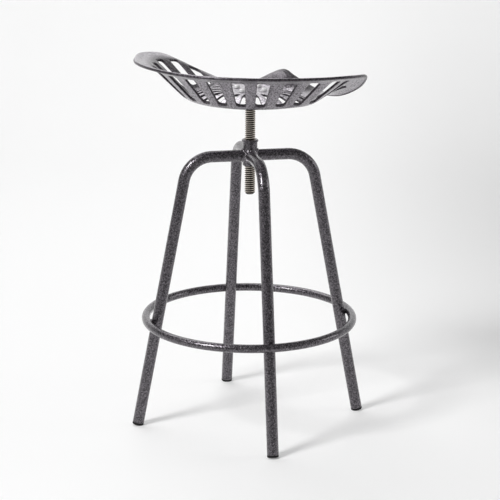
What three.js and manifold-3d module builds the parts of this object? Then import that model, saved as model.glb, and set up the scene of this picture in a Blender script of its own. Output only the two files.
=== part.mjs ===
// A tractor seat stool: a slotted, dished metal seat on a lifting screw, which turns in a threaded collar
// on four bent tube legs. A foot ring is welded round the outside of the legs.
// Millimetres, +Z up. The origin is on the floor, on the screw's axis. The legs stand along +X, +Y, -X and -Y.

import * as THREE from "three";
import { ParametricGeometry } from "three/addons/geometries/ParametricGeometry.js";
import { mergeVertices } from "three/addons/utils/BufferGeometryUtils.js";
import Module from "manifold-3d";

const wasm = await Module();
wasm.setup();

// Clearances
const WELD_GAP = 0.3; // left between pieces that are welded or clamped together
const THREAD_CLEARANCE = 0.4; // round the screw in its collar
const OVERRUN = 2; // how far a cutting solid passes through a face

// Legs
const LEG_COUNT = 4;
const LEG_TUBE_DIAMETER = 22;
const LEG_TUBE_WALL = 1.5;
const FOOT_RADIUS = 221; // from the axis to where a leg's centreline meets the floor
const ARM_HEIGHT = 529; // centreline of the level arm at the top of a leg
const ARM_REACH = 119; // from the axis to where the arm's and the leg's centrelines would cross
const LEG_BEND_RADIUS = 55;

// Foot plugs
const PLUG_HEAD_THICKNESS = 4;
const PLUG_INSERT_LENGTH = 16;
const PLUG_WALL = 2;
const PLUG_RIB_HEIGHT = 0.6;
const PLUG_RIB_COUNT = 2;
const PLUG_CLEARANCE = 0.3;
const FLOOR_FLAT_DEPTH = 0.9; // how much of the head's low edge is moulded off flat to the floor

// Foot ring
const RING_TUBE_DIAMETER = 16;
const RING_TUBE_WALL = 1.5;
const RING_HEIGHT = 208;
const RING_SEAM = 0.6; // gap at the butt joint where the rolled tube's ends meet

// Threaded collar
const COLLAR_DIAMETER = 28;
const COLLAR_LENGTH = 50;
const COLLAR_BELOW_ARM = 19; // from the arm's centreline down to the collar's lower end
const COLLAR_LIP_DIAMETER = 31.5;
const COLLAR_LIP_HEIGHT = 5;
const COLLAR_LIP_ROUND = 1.25; // at the lip's two edges
const COLLAR_LEAD_IN = 1.6;

// Lifting screw
const SCREW_DIAMETER = 20;
const SCREW_PITCH = 4;
const SCREW_LENGTH = 192.5; // threaded length, up to the seat plate
const SCREW_TURNS_BELOW = 14; // turns of thread that hang below the collar at rest
const SCREW_THREAD_DEPTH = 2;
const SPIGOT_DIAMETER = 14;

// Seat plate, welded on the screw
const PLATE_DIAMETER = 80;
const PLATE_THICKNESS = 4;
const PLATE_CHAMFER = 0.8;

// Seat bolts
const BOLT_COUNT = 4;
const BOLT_CIRCLE_DIAMETER = 60;
const BOLT_DIAMETER = 6;
const BOLT_HEAD_DIAMETER = 10.5;
const BOLT_HEAD_HEIGHT = 3.3;
const BOLT_HEAD_ROUND = 1.6; // how much narrower the button head is at its top, all round
const BOLT_SOCKET_WIDTH = 4;
const BOLT_SOCKET_DEPTH = 1.8;
const BOLT_CLEARANCE = 0.3;
const WASHER_DIAMETER = 12;
const WASHER_THICKNESS = 1.6;

// Seat pan
const SEAT_HEADING = 46.5; // degrees from +X round to the way that the sitter faces
const SEAT_HALF_WIDTH = 236;
const PAN_DEPTH = 72; // from the pan's floor up to the highest part of its rim
const PAN_WALL = 4.5;
const PAN_RIM_DIAMETER = 5.8; // rounded bead along the edge, flush with the upper face
const PAN_CROWN = 13.5; // how far the middle of the floor stands up, where the seat is bolted down
const FRONT_ROLL = 10.5; // how far the front of the pan rolls over, downwards, at its edge
const SLOT_WIDTH = 25; // at a slot's outer end
const SLOT_CORNER_RADIUS = 6;
const INNER_SLOT_START = 54; // from the axis to the inner row of slots

// Seat rim, from straight ahead (0 degrees) round to straight behind (180), alike on both sides: its distance
// from the axis as a share of the half width, its height over the floor as a share of the depth, and its roll
// as a share of the full roll.
const RIM_SHARES = [
  { degrees: 0, reach: 0.54, height: 0.48, roll: 0.2 },
  { degrees: 12, reach: 0.53, height: 0.355, roll: 0.6 },
  { degrees: 24, reach: 0.585, height: 0.15, roll: 0.9 },
  { degrees: 36, reach: 0.66, height: -0.01, roll: 0.95 },
  { degrees: 50, reach: 0.75, height: 0.045, roll: 0.7 },
  { degrees: 65, reach: 0.875, height: 0.37, roll: 0.3 },
  { degrees: 80, reach: 0.975, height: 0.785, roll: 0 },
  { degrees: 95, reach: 1, height: 0.915, roll: 0 },
  { degrees: 110, reach: 0.95, height: 0.945, roll: 0 },
  { degrees: 130, reach: 0.92, height: 0.985, roll: 0 },
  { degrees: 155, reach: 0.89, height: 1, roll: 0 },
  { degrees: 180, reach: 0.875, height: 0.99, roll: 0 },
];

// Section of the pan: height as a share of the rim's, at shares of the rim's distance from the axis.
const WALL_SHARES = [
  { out: 0.5, height: 0 },
  { out: 0.55, height: 0.02 },
  { out: 0.6, height: 0.12 },
  { out: 0.65, height: 0.26 },
  { out: 0.75, height: 0.555 },
  { out: 0.85, height: 0.835 },
  { out: 1, height: 1 },
];
const CROWN_SHARES = { flat: 0.33, foot: 0.55 }; // where along the section the crown's slope begins and ends
const ROLL_START_SHARE = 0.55; // where along the section the roll of the front edge begins

// Radial slots: bearings in degrees from straight behind, and their ends as shares of the rim's distance.
const SLOT_BEARINGS = [8, 24, 39.5, 55.5, 70.5, 84.5, 97.5, 109.5];
const OUTER_SLOT_SHARES = { start: 0.6, end: 0.85 };
const INNER_SLOT_END_SHARE = 0.51;
const SLOT_ROUND_SHARE = 0.8; // the most of a slot's half width that one rounded corner may take

// Facets
const PAN_SLICES = 64;
const PAN_STATION_SHARES = [0.33, 0.4, 0.47, 0.54, 0.6, 0.66, 0.73, 0.8, 0.87, 0.94, 1]; // along its section
const BEAD_DEGREES = [-120, -70, -20, 25, 65]; // round the bead, from level with the pan's surface
const ROUND_SIDES = 24;
const LEG_SIDES = 16;
const RING_SIDES = 10;
const RING_STEPS = 44;
const BEND_STEPS = 7;
const SMALL_SIDES = 12;
const HEXAGON_SIDES = 6;
const CORNER_STEPS = 2;
const MERGE_TOLERANCE = 0.0001; // corners nearer than this are one
const SURFACE_STEP_SHARE = 0.001; // in radians and in shares, for the slope of the pan's surface

// Sizes that follow from those above
const legTubeRadius = LEG_TUBE_DIAMETER / 2;
const ringTubeRadius = RING_TUBE_DIAMETER / 2;
const collarRadius = COLLAR_DIAMETER / 2;
const screwRadius = SCREW_DIAMETER / 2;
const legTilt = Math.atan2(FOOT_RADIUS - ARM_REACH, ARM_HEIGHT);
const legRadiusAt = (height) => FOOT_RADIUS - height * Math.tan(legTilt);
const collarBottom = ARM_HEIGHT - COLLAR_BELOW_ARM;
const collarTop = collarBottom + COLLAR_LENGTH;
const screwBottom = collarBottom - SCREW_TURNS_BELOW * SCREW_PITCH;
const screwTop = screwBottom + SCREW_LENGTH;
const plateBottom = screwTop + WELD_GAP;
const plateTop = plateBottom + PLATE_THICKNESS;
const panUnderside = plateTop + WELD_GAP;
const panFloor = panUnderside + PAN_WALL;
const panFoot = panUnderside + PAN_WALL / 2 - PAN_CROWN; // middle surface at the foot of the wall
const washerTop = panFloor + WELD_GAP + WASHER_THICKNESS;
const boltCircleRadius = BOLT_CIRCLE_DIAMETER / 2;

// Materials, from the photographed object
const hammeredPaint = { color: 0x55525a, roughness: 0.38, metalness: 0.6 };
const bareScrewSteel = { color: 0x4a473c, roughness: 0.45, metalness: 0.85 };
const zincPlate = { color: 0x9a9a9c, roughness: 0.35, metalness: 0.9 };
const blackPlastic = { color: 0x121214, roughness: 0.55, metalness: 0 };

const radians = THREE.MathUtils.degToRad;

// A closed geometry as a solid that can be joined and cut.
function solidOf(geometry) {
  const bare = geometry.clone();
  bare.deleteAttribute("normal");
  bare.deleteAttribute("uv");
  const merged = mergeVertices(bare, MERGE_TOLERANCE);
  const corners = merged.index.array;
  const kept = [];
  for (let i = 0; i < corners.length; i += 3) {
    const [a, b, c] = [corners[i], corners[i + 1], corners[i + 2]];
    if (a !== b && b !== c && c !== a) kept.push(a, b, c);
  }
  return new wasm.Manifold(
    new wasm.Mesh({
      numProp: 3,
      vertProperties: merged.attributes.position.array,
      triVerts: new Uint32Array(kept),
    }),
  );
}

// A solid, or a geometry, as a geometry with flat-shaded faces.
function geometryOf(shape) {
  if (shape.isBufferGeometry) return shape;
  const cut = shape.getMesh();
  const geometry = new THREE.BufferGeometry();
  geometry.setAttribute("position", new THREE.BufferAttribute(cut.vertProperties, 3));
  geometry.setIndex(new THREE.BufferAttribute(cut.triVerts, 1));
  const faces = geometry.toNonIndexed();
  faces.computeVertexNormals();
  return faces;
}

function meshOf(name, shape, look) {
  const mesh = new THREE.Mesh(geometryOf(shape), new THREE.MeshStandardMaterial(look));
  mesh.name = name;
  return mesh;
}

// A profile of [radius, height] pairs, given from the bottom up on its outside, turned about +Z.
function turned(profile, sides = ROUND_SIDES) {
  const points = profile.map(([radius, height]) => new THREE.Vector2(radius, height));
  return new THREE.LatheGeometry(points, sides).rotateX(Math.PI / 2);
}

// A solid disc or rod about +Z.
function rod(radius, bottom, top, sides = ROUND_SIDES) {
  return turned([[0, bottom], [radius, bottom], [radius, top], [0, top]], sides);
}

// The round section of a tube, with its bore.
function tubeSection(radius, wall, sides) {
  const ringOf = (size, count) => {
    const corner = (_, i) => {
      const angle = (i / count) * 2 * Math.PI;
      return new THREE.Vector2(size * Math.cos(angle), size * Math.sin(angle));
    };
    return Array.from({ length: count }, corner);
  };
  const section = new THREE.Shape(ringOf(radius, sides));
  section.holes.push(new THREE.Path(ringOf(radius - wall, sides)));
  return section;
}

function sweep(section, path, steps) {
  return new THREE.ExtrudeGeometry(section, { extrudePath: path, steps });
}

// A leg's centreline in the XZ plane: level arm, bend, straight leg. One step takes each straight stretch.
class LegPath extends THREE.Curve {
  constructor(startRadius, endHeight) {
    super();
    const turn = Math.PI / 2 - legTilt;
    const setback = LEG_BEND_RADIUS * Math.tan(turn / 2);
    this.turn = turn;
    this.centre = new THREE.Vector2(ARM_REACH - setback, ARM_HEIGHT - LEG_BEND_RADIUS);
    this.start = new THREE.Vector3(startRadius, 0, ARM_HEIGHT);
    this.end = new THREE.Vector3(legRadiusAt(endHeight), 0, endHeight);
  }

  getUtoTmapping(u) {
    return u;
  }

  bendPoint(share) {
    const angle = share * this.turn;
    const x = this.centre.x + LEG_BEND_RADIUS * Math.sin(angle);
    const z = this.centre.y + LEG_BEND_RADIUS * Math.cos(angle);
    return new THREE.Vector3(x, 0, z);
  }

  getPoint(t) {
    const step = t * (BEND_STEPS + 2);
    if (step < 1) return this.start.clone().lerp(this.bendPoint(0), step);
    if (step > BEND_STEPS + 1) return this.bendPoint(1).lerp(this.end, step - BEND_STEPS - 1);
    return this.bendPoint((step - 1) / BEND_STEPS);
  }

  getTangent(t) {
    const bent = THREE.MathUtils.clamp((t * (BEND_STEPS + 2) - 1) / BEND_STEPS, 0, 1);
    const angle = bent * this.turn;
    return new THREE.Vector3(Math.cos(angle), 0, -Math.sin(angle));
  }
}

// The foot ring's centreline: one turn, but for the seam behind the leg on +Y.
class RingPath extends THREE.Curve {
  constructor(radius) {
    super();
    this.radius = radius;
    this.seamAngle = RING_SEAM / radius;
  }

  getPoint(t) {
    const angle = Math.PI / 2 + this.seamAngle / 2 + t * (2 * Math.PI - this.seamAngle);
    return new THREE.Vector3(this.radius * Math.cos(angle), this.radius * Math.sin(angle), RING_HEIGHT);
  }
}

// Heights, along the leg's centreline, of the plug's face and of the tube's end.
const plugFaceHeight = legTubeRadius * Math.sin(legTilt) - FLOOR_FLAT_DEPTH;
const tubeEndHeight = plugFaceHeight + (PLUG_HEAD_THICKNESS + WELD_GAP) * Math.cos(legTilt);

// One bent leg along +X, hollow, its arm coped round the collar and mitred against the arms beside it.
function legSolid() {
  const path = new LegPath(collarRadius / 2, tubeEndHeight);
  const section = tubeSection(legTubeRadius, LEG_TUBE_WALL, LEG_SIDES);
  const tube = solidOf(sweep(section, path, BEND_STEPS + 2));
  const collarSpace = solidOf(rod(collarRadius + WELD_GAP, collarBottom, collarTop));
  const share = Math.PI / LEG_COUNT;
  const far = FOOT_RADIUS + LEG_TUBE_DIAMETER;
  const near = WELD_GAP / (2 * Math.sin(share));
  const quarter = new THREE.Shape([
    new THREE.Vector2(near, 0),
    new THREE.Vector2(far, -(far - near) * Math.tan(share)),
    new THREE.Vector2(far, (far - near) * Math.tan(share)),
  ]);
  const wedge = new THREE.ExtrudeGeometry(quarter, {
    depth: ARM_HEIGHT + LEG_TUBE_DIAMETER,
    bevelEnabled: false,
  });
  return tube.subtract(collarSpace).intersect(solidOf(wedge));
}

// One foot plug under that leg: a flush head and a hollow ribbed insert, with its low edge flat on the floor.
function plugSolid() {
  const boreRadius = legTubeRadius - LEG_TUBE_WALL;
  const ribRadius = boreRadius - PLUG_CLEARANCE;
  const coreRadius = ribRadius - PLUG_RIB_HEIGHT;
  const ribPitch = PLUG_INSERT_LENGTH / (PLUG_RIB_COUNT + 1);
  const headTop = PLUG_HEAD_THICKNESS;
  const insertTop = headTop + PLUG_INSERT_LENGTH;
  const profile = [[0, 0], [legTubeRadius, 0], [legTubeRadius, headTop], [coreRadius, headTop]];
  for (let i = 1; i <= PLUG_RIB_COUNT; i++) {
    const height = headTop + i * ribPitch;
    profile.push([coreRadius, height - PLUG_RIB_HEIGHT], [ribRadius, height]);
    profile.push([coreRadius, height + PLUG_RIB_HEIGHT]);
  }
  profile.push([coreRadius, insertTop], [coreRadius - PLUG_WALL, insertTop]);
  profile.push([coreRadius - PLUG_WALL, headTop], [0, headTop]);
  const plug = turned(profile, LEG_SIDES);
  plug.rotateY(-legTilt);
  plug.translate(legRadiusAt(plugFaceHeight), 0, plugFaceHeight);
  const reach = FOOT_RADIUS + LEG_TUBE_DIAMETER;
  const floor = new THREE.BoxGeometry(2 * reach, 2 * reach, LEG_TUBE_DIAMETER);
  floor.translate(0, 0, -LEG_TUBE_DIAMETER / 2);
  return solidOf(plug).subtract(solidOf(floor));
}

// The foot ring is a rolled tube, which touches the outside of every leg.
function ringGeometry() {
  const touching = (legTubeRadius + ringTubeRadius + WELD_GAP) / Math.cos(legTilt);
  const path = new RingPath(legRadiusAt(RING_HEIGHT) + touching);
  return sweep(tubeSection(ringTubeRadius, RING_TUBE_WALL, RING_SIDES), path, RING_STEPS);
}

// The collar is a thick tube with a flared lip, and a lead-in at each end of its bore.
function collarGeometry() {
  const bore = screwRadius + THREAD_CLEARANCE;
  const lipRadius = COLLAR_LIP_DIAMETER / 2;
  const lipBottom = collarTop - COLLAR_LIP_HEIGHT;
  return turned([
    [bore, collarBottom + COLLAR_LEAD_IN],
    [bore + COLLAR_LEAD_IN, collarBottom],
    [collarRadius, collarBottom],
    [collarRadius, lipBottom],
    [lipRadius, lipBottom + COLLAR_LIP_ROUND],
    [lipRadius, collarTop - COLLAR_LIP_ROUND],
    [lipRadius - COLLAR_LIP_ROUND, collarTop],
    [bore + COLLAR_LEAD_IN, collarTop],
    [bore, collarTop - COLLAR_LEAD_IN],
    [bore, collarBottom + COLLAR_LEAD_IN],
  ]);
}

// The screw's crests, with a chamfer as deep as the thread at its free end, and a spigot for the plate.
function screwGeometry() {
  const spigotRadius = SPIGOT_DIAMETER / 2;
  return turned([
    [0, screwBottom],
    [screwRadius - SCREW_THREAD_DEPTH, screwBottom],
    [screwRadius, screwBottom + SCREW_THREAD_DEPTH],
    [screwRadius, screwTop],
    [spigotRadius, screwTop],
    [spigotRadius, plateTop - WELD_GAP],
    [0, plateTop - WELD_GAP],
  ]);
}

// Places around the bolt circle, one of them straight ahead of the seat.
const boltAngles = Array.from({ length: BOLT_COUNT }, (_, i) => (i / BOLT_COUNT) * 2 * Math.PI);

function atBolt(geometry, angle) {
  return geometry
    .translate(boltCircleRadius, 0, 0)
    .rotateZ(angle);
}

function cutBoltHoles(solid, bottom, top) {
  const radius = BOLT_DIAMETER / 2 + BOLT_CLEARANCE;
  for (const angle of boltAngles) {
    const hole = rod(radius, bottom - OVERRUN, top + OVERRUN, SMALL_SIDES);
    solid = solid.subtract(solidOf(atBolt(hole, angle)));
  }
  return solid;
}

// The plate is a chamfered disc with a hole for the spigot and four for the bolts.
function plateSolid() {
  const radius = PLATE_DIAMETER / 2;
  const hole = SPIGOT_DIAMETER / 2 + WELD_GAP;
  const disc = turned([
    [hole, plateBottom],
    [radius - PLATE_CHAMFER, plateBottom],
    [radius, plateBottom + PLATE_CHAMFER],
    [radius, plateTop],
    [hole, plateTop],
    [hole, plateBottom],
  ]);
  return cutBoltHoles(solidOf(disc), plateBottom, plateTop);
}

// A button-head bolt with a hexagon socket, down through washer, pan and plate.
function boltSolid(angle) {
  const headBottom = washerTop + WELD_GAP;
  const headRadius = BOLT_HEAD_DIAMETER / 2;
  const headTop = headBottom + BOLT_HEAD_HEIGHT;
  const shank = BOLT_DIAMETER / 2;
  const body = turned([
    [0, plateBottom],
    [shank, plateBottom],
    [shank, headBottom],
    [headRadius, headBottom],
    [headRadius, headTop - BOLT_HEAD_ROUND],
    [headRadius - BOLT_HEAD_ROUND, headTop],
    [0, headTop],
  ], SMALL_SIDES);
  const socketRadius = BOLT_SOCKET_WIDTH / Math.sqrt(3);
  const socket = rod(socketRadius, headTop - BOLT_SOCKET_DEPTH, headTop + OVERRUN, HEXAGON_SIDES);
  return solidOf(atBolt(body, angle)).subtract(solidOf(atBolt(socket, angle)));
}

function washerGeometry(angle) {
  const hole = BOLT_DIAMETER / 2 + BOLT_CLEARANCE;
  const bottom = panFloor + WELD_GAP;
  const ring = turned([
    [hole, bottom],
    [WASHER_DIAMETER / 2, bottom],
    [WASHER_DIAMETER / 2, washerTop],
    [hole, washerTop],
    [hole, bottom],
  ], SMALL_SIDES);
  return atBolt(ring, angle);
}

// A smooth curve through a table of shares, level at its first row and, where asked, at its last.
function curveThrough(rows, key, columns, levelEnd) {
  const places = rows.map((row) => row[key]);
  const values = rows.flatMap((row) => columns.map((column) => row[column]));
  const curve = new THREE.CubicInterpolant(places, values, columns.length);
  curve.settings = {
    endingStart: THREE.ZeroSlopeEnding,
    endingEnd: levelEnd ? THREE.ZeroSlopeEnding : THREE.ZeroCurvatureEnding,
  };
  return (place) => curve.evaluate(place);
}

const rimCurve = curveThrough(RIM_SHARES, "degrees", ["reach", "height", "roll"], true);
const wallCurve = curveThrough(WALL_SHARES, "out", ["height"], false);

// The rim at an angle from straight ahead, which is +X in the seat's own group.
function rimAt(angle) {
  const degrees = Math.abs(THREE.MathUtils.radToDeg(Math.atan2(Math.sin(angle), Math.cos(angle))));
  const [reach, height, roll] = rimCurve(degrees);
  return {
    reach: reach * SEAT_HALF_WIDTH - PAN_RIM_DIAMETER / 2,
    height: height * PAN_DEPTH,
    roll: roll * FRONT_ROLL,
  };
}

// The pan's middle surface: out is 0 on the axis, 1 at the rim.
function panPoint(angle, out) {
  const rim = rimAt(angle);
  const wall = out > WALL_SHARES[0].out ? wallCurve(out)[0] : 0;
  const rolled = Math.max(0, (out - ROLL_START_SHARE) / (1 - ROLL_START_SHARE));
  const crown = PAN_CROWN * (1 - THREE.MathUtils.smoothstep(out, CROWN_SHARES.flat, CROWN_SHARES.foot));
  const rise = (rim.height + rim.roll) * wall - rim.roll * rolled ** 2 + crown;
  const radius = out * rim.reach;
  return new THREE.Vector3(radius * Math.cos(angle), radius * Math.sin(angle), panFoot + rise);
}

// The pan's two directions along its surface at a point: outwards, and up through the wall.
function panFrame(angle, out) {
  const inside = panPoint(angle, out - SURFACE_STEP_SHARE);
  const outwards = panPoint(angle, out).sub(inside).normalize();
  const behind = panPoint(angle - SURFACE_STEP_SHARE, out);
  const around = panPoint(angle + SURFACE_STEP_SHARE, out).sub(behind).normalize();
  return { outwards, through: outwards.clone().cross(around).normalize() };
}

// Stations round the pan's section: along the underside from the middle, round the bead, and back on top.
function panStations() {
  const half = PAN_WALL / 2;
  const beadRadius = PAN_RIM_DIAMETER / 2;
  const beadCentre = half - beadRadius;
  const under = PAN_STATION_SHARES.map((out) => ({ out, lift: -half, past: 0 }));
  const above = PAN_STATION_SHARES.map((out) => ({ out, lift: half, past: 0 })).reverse();
  const bead = BEAD_DEGREES.map((degrees) => {
    const turn = radians(degrees);
    return { out: 1, lift: beadCentre + beadRadius * Math.sin(turn), past: beadRadius * Math.cos(turn) };
  });
  const bottom = { middle: true, lift: -half };
  const top = { middle: true, lift: half };
  return [bottom, ...under, ...bead, ...above, top];
}

// The dished pan before its slots are cut: its section, carried round the rim.
function panBlank() {
  const stations = panStations();
  const stacks = stations.length - 1;
  const place = (u, v, target) => {
    const angle = (Math.round(u * PAN_SLICES) % PAN_SLICES) * ((2 * Math.PI) / PAN_SLICES);
    const station = stations[Math.round(v * stacks)];
    if (station.middle) return target.set(0, 0, panUnderside + PAN_WALL / 2 + station.lift);
    const { outwards, through } = panFrame(angle, station.out);
    target.copy(panPoint(angle, station.out));
    return target.addScaledVector(through, station.lift).addScaledVector(outwards, station.past);
  };
  return solidOf(new ParametricGeometry(place, PAN_SLICES, stacks));
}

// A wedge-shaped slot about +X with rounded corners, as a column that cuts the pan from top to bottom.
function slotCutter(start, end, half, angle) {
  const round = Math.min(SLOT_CORNER_RADIUS, start * Math.tan(half) * SLOT_ROUND_SHARE);
  const corners = [
    new THREE.Vector2(start, -start * Math.tan(half)),
    new THREE.Vector2(end, -end * Math.tan(half)),
    new THREE.Vector2(end, end * Math.tan(half)),
    new THREE.Vector2(start, start * Math.tan(half)),
  ];
  const outline = new THREE.Shape();
  corners.forEach((corner, i) => {
    const before = corners[(i + corners.length - 1) % corners.length];
    const after = corners[(i + 1) % corners.length];
    const entry = corner.clone().add(before.clone().sub(corner).setLength(round));
    const exit = corner.clone().add(after.clone().sub(corner).setLength(round));
    if (i === 0) outline.moveTo(entry.x, entry.y);
    else outline.lineTo(entry.x, entry.y);
    outline.quadraticCurveTo(corner.x, corner.y, exit.x, exit.y);
  });
  const depth = PAN_DEPTH + PAN_CROWN + 2 * PAN_WALL;
  const settings = { depth, bevelEnabled: false, curveSegments: CORNER_STEPS };
  const column = new THREE.ExtrudeGeometry(outline, settings);
  return solidOf(column.translate(0, 0, panFoot - PAN_WALL).rotateZ(angle));
}

// The slotted pan: an outer row of slots up its wall and an inner row on its floor, with a band between them.
function panSolid() {
  let pan = panBlank();
  for (const bearing of SLOT_BEARINGS) {
    for (const side of [1, -1]) {
      const angle = Math.PI + side * radians(bearing);
      const reach = rimAt(angle).reach;
      const half = Math.atan(SLOT_WIDTH / 2 / (OUTER_SLOT_SHARES.end * reach));
      const outer = slotCutter(OUTER_SLOT_SHARES.start * reach, OUTER_SLOT_SHARES.end * reach, half, angle);
      const inner = slotCutter(INNER_SLOT_START, INNER_SLOT_END_SHARE * reach, half, angle);
      pan = pan.subtract(outer).subtract(inner);
    }
  }
  return cutBoltHoles(pan, panUnderside, panFloor);
}

function buildBase() {
  const base = new THREE.Group();
  const legNames = ["right", "back", "left", "front"];
  const leg = legSolid();
  const plug = plugSolid();
  legNames.forEach((side, i) => {
    const quarter = new THREE.Group();
    quarter.rotation.z = (i / LEG_COUNT) * 2 * Math.PI;
    quarter.add(meshOf(`leg_${side}`, leg, hammeredPaint), meshOf(`foot_plug_${side}`, plug, blackPlastic));
    base.add(quarter);
  });
  base.add(meshOf("foot_ring", ringGeometry(), hammeredPaint));
  base.add(meshOf("hub_collar", collarGeometry(), hammeredPaint));
  return base;
}

function buildSeat() {
  const seat = new THREE.Group();
  seat.rotation.z = radians(SEAT_HEADING);
  seat.add(meshOf("seat_plate", plateSolid(), hammeredPaint));
  seat.add(meshOf("seat_pan", panSolid(), hammeredPaint));
  boltAngles.forEach((angle, i) => {
    seat.add(meshOf(`seat_washer_${i + 1}`, washerGeometry(angle), zincPlate));
    seat.add(meshOf(`seat_bolt_${i + 1}`, boltSolid(angle), zincPlate));
  });
  return seat;
}

const stool = new THREE.Group();
stool.add(buildBase());
stool.add(meshOf("lifting_screw", screwGeometry(), bareScrewSteel));
stool.add(buildSeat());

export default stool;
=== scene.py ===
import math
from functools import partial

import bmesh
import bpy
import numpy as np
from mathutils import Matrix, Vector
from mathutils.geometry import delaunay_2d_cdt


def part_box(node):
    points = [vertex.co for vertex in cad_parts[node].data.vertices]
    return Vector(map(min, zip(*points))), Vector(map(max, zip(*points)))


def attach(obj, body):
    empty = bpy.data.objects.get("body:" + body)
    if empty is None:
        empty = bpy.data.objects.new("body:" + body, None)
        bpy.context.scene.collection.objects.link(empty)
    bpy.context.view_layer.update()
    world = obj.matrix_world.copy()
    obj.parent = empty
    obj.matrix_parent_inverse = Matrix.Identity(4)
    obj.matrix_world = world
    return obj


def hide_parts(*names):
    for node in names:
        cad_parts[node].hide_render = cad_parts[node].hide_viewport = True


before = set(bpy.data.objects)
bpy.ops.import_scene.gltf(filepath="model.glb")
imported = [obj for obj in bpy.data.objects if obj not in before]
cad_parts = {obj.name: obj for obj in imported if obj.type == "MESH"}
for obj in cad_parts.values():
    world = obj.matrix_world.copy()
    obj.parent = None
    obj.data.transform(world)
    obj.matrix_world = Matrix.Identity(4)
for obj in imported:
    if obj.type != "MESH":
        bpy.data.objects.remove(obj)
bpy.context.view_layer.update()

scene = bpy.context.scene
MM = 0.001
FULL_TURN = 2 * math.pi
QUARTER_TURN = math.pi / 2

# Sizes of the part, as in its own source: lengths in millimetres, angles in radians
WELD_GAP = 0.3  # left between pieces that are welded or clamped together
LEG_RADIUS = 11
LEG_WALL = 1.5
FOOT_RADIUS = 221
ARM_HEIGHT = 529
ARM_REACH = 119
LEG_BEND_RADIUS = 55
LEG_TILT = math.atan2(FOOT_RADIUS - ARM_REACH, ARM_HEIGHT)
PLUG_HEAD = 4
PLUG_INSERT_LENGTH = 16
PLUG_WALL = 2
PLUG_RIB_HEIGHT = 0.6
PLUG_RIB_COUNT = 2
PLUG_CLEARANCE = 0.3
FLOOR_FLAT_DEPTH = 0.9
PLUG_FACE_HEIGHT = LEG_RADIUS * math.sin(LEG_TILT) - FLOOR_FLAT_DEPTH
RING_RADIUS = 8
RING_HEIGHT = 208
COLLAR_RADIUS = 14
COLLAR_BORE = 10.4
COLLAR_LIP_RADIUS = 15.75
COLLAR_LIP_HEIGHT = 5
COLLAR_LIP_ROUND = 1.25
COLLAR_LEAD_IN = 1.6
SCREW_RADIUS = 10
SCREW_PITCH = 4
THREAD_DEPTH = 2
SPIGOT_RADIUS = 7
PLATE_RADIUS = 40
PLATE_CHAMFER = 0.8
BOLT_COUNT = 4
BOLT_CIRCLE = 30
BOLT_RADIUS = 3
BOLT_HEAD_HEIGHT = 3.3
BOLT_SOCKET_WIDTH = 4
BOLT_SOCKET_DEPTH = 1.8
BOLT_CLEARANCE = 0.3
WASHER_RADIUS = 6
WASHER_THICKNESS = 1.6
PAN_WALL = 4.5
PAN_RIM_RADIUS = 2.9
PAN_CROWN = 13.5
PAN_DEPTH = 72
SEAT_HEADING = math.radians(46.5)
SEAT_HALF_WIDTH = 236
FRONT_ROLL = 10.5
SLOT_WIDTH = 25
SLOT_CORNER = 6
INNER_SLOT_START = 54

# The rim, by degrees from the front: shares of the half width, the depth and the front's roll
RIM_SHARES = [
    (0, 0.54, 0.48, 0.2), (12, 0.53, 0.355, 0.6), (24, 0.585, 0.15, 0.9), (36, 0.66, -0.01, 0.95),
    (50, 0.75, 0.045, 0.7), (65, 0.875, 0.37, 0.3), (80, 0.975, 0.785, 0), (95, 1, 0.915, 0),
    (110, 0.95, 0.945, 0), (130, 0.92, 0.985, 0), (155, 0.89, 1, 0), (180, 0.875, 0.99, 0),
]

# The pan's section, by the share of the way out to the rim: the share of the rim's height
WALL_SHARES = [(0.5, 0), (0.55, 0.02), (0.6, 0.12), (0.65, 0.26), (0.75, 0.555), (0.85, 0.835), (1, 1)]
WALL_FOOT = WALL_SHARES[0][0]
CROWN_FLAT, CROWN_FOOT, ROLL_START = 0.33, 0.55, 0.55
SLOT_BEARINGS = [8, 24, 39.5, 55.5, 70.5, 84.5, 97.5, 109.5]  # degrees from the back, to both sides
OUTER_SLOT = (0.6, 0.85)
INNER_SLOT_END = 0.51
SLOT_ROUND_SHARE = 0.8  # the most of a slot's half width that one rounded corner may take

# Details that the solids leave out: lengths in millimetres, angles in radians
COPE_GAP = 0.2
TUBE_END_ROUND = 0.35
TUBE_END_BAND = 1.2
WELD_BEAD_RADIUS = 2.1
WELD_BEAD_OFFSET = 0.3
HUB_BEAD_LIFT = 0.2
RING_BEAD_RISE = 3.1
RING_BEAD_HALF_LENGTH = 5.5
RING_BEAD_WRAP = 12
RING_BEAD_WRAP_DEPTH = 6
PLATE_BEAD_RADIUS = 1.6
PLATE_BEAD_DROP = 0.6
THREAD_CREST_SHARE = 0.366  # of the pitch
THREAD_FLANK_ANGLE = math.radians(15)
THREAD_EASE_SHARE = 0.12  # of a flank, at each of its ends
THREAD_EASE_DEPTH = 0.28
THREAD_TOP_GAP = 0.4
SCREW_END_CHAMFER = 0.6
SPIGOT_CHAMFER = 0.5
SPIGOT_TAPER = 0.01
SPIGOT_OVERLAP = 0.3
SOCKET_CHAMFER = 0.12
SOCKET_DRAFT = 0.04
SOCKET_POINT_DEPTH = 0.2
SHANK_CHAMFER = 0.3
SHANK_OVERLAP = 0.1
SLOT_EDGE_ROUND = 0.9
BEAD_FOOT_SETBACK = 2.42  # from the rim's outline in to where its bead meets the underside
BEAD_DEGREES = range(75, -136, -15)  # round the bead, from level with the pan's surface

# A button head's outline as (radius, height), from its foot to its flat top
BUTTON_PROFILE = [
    (5.05, 0), (5.25, 0.25), (5.2, 0.9), (4.95, 1.6), (4.5, 2.2), (3.9, 2.75), (3.1, 3.15),
    (2.55, BOLT_HEAD_HEIGHT),
]

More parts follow.
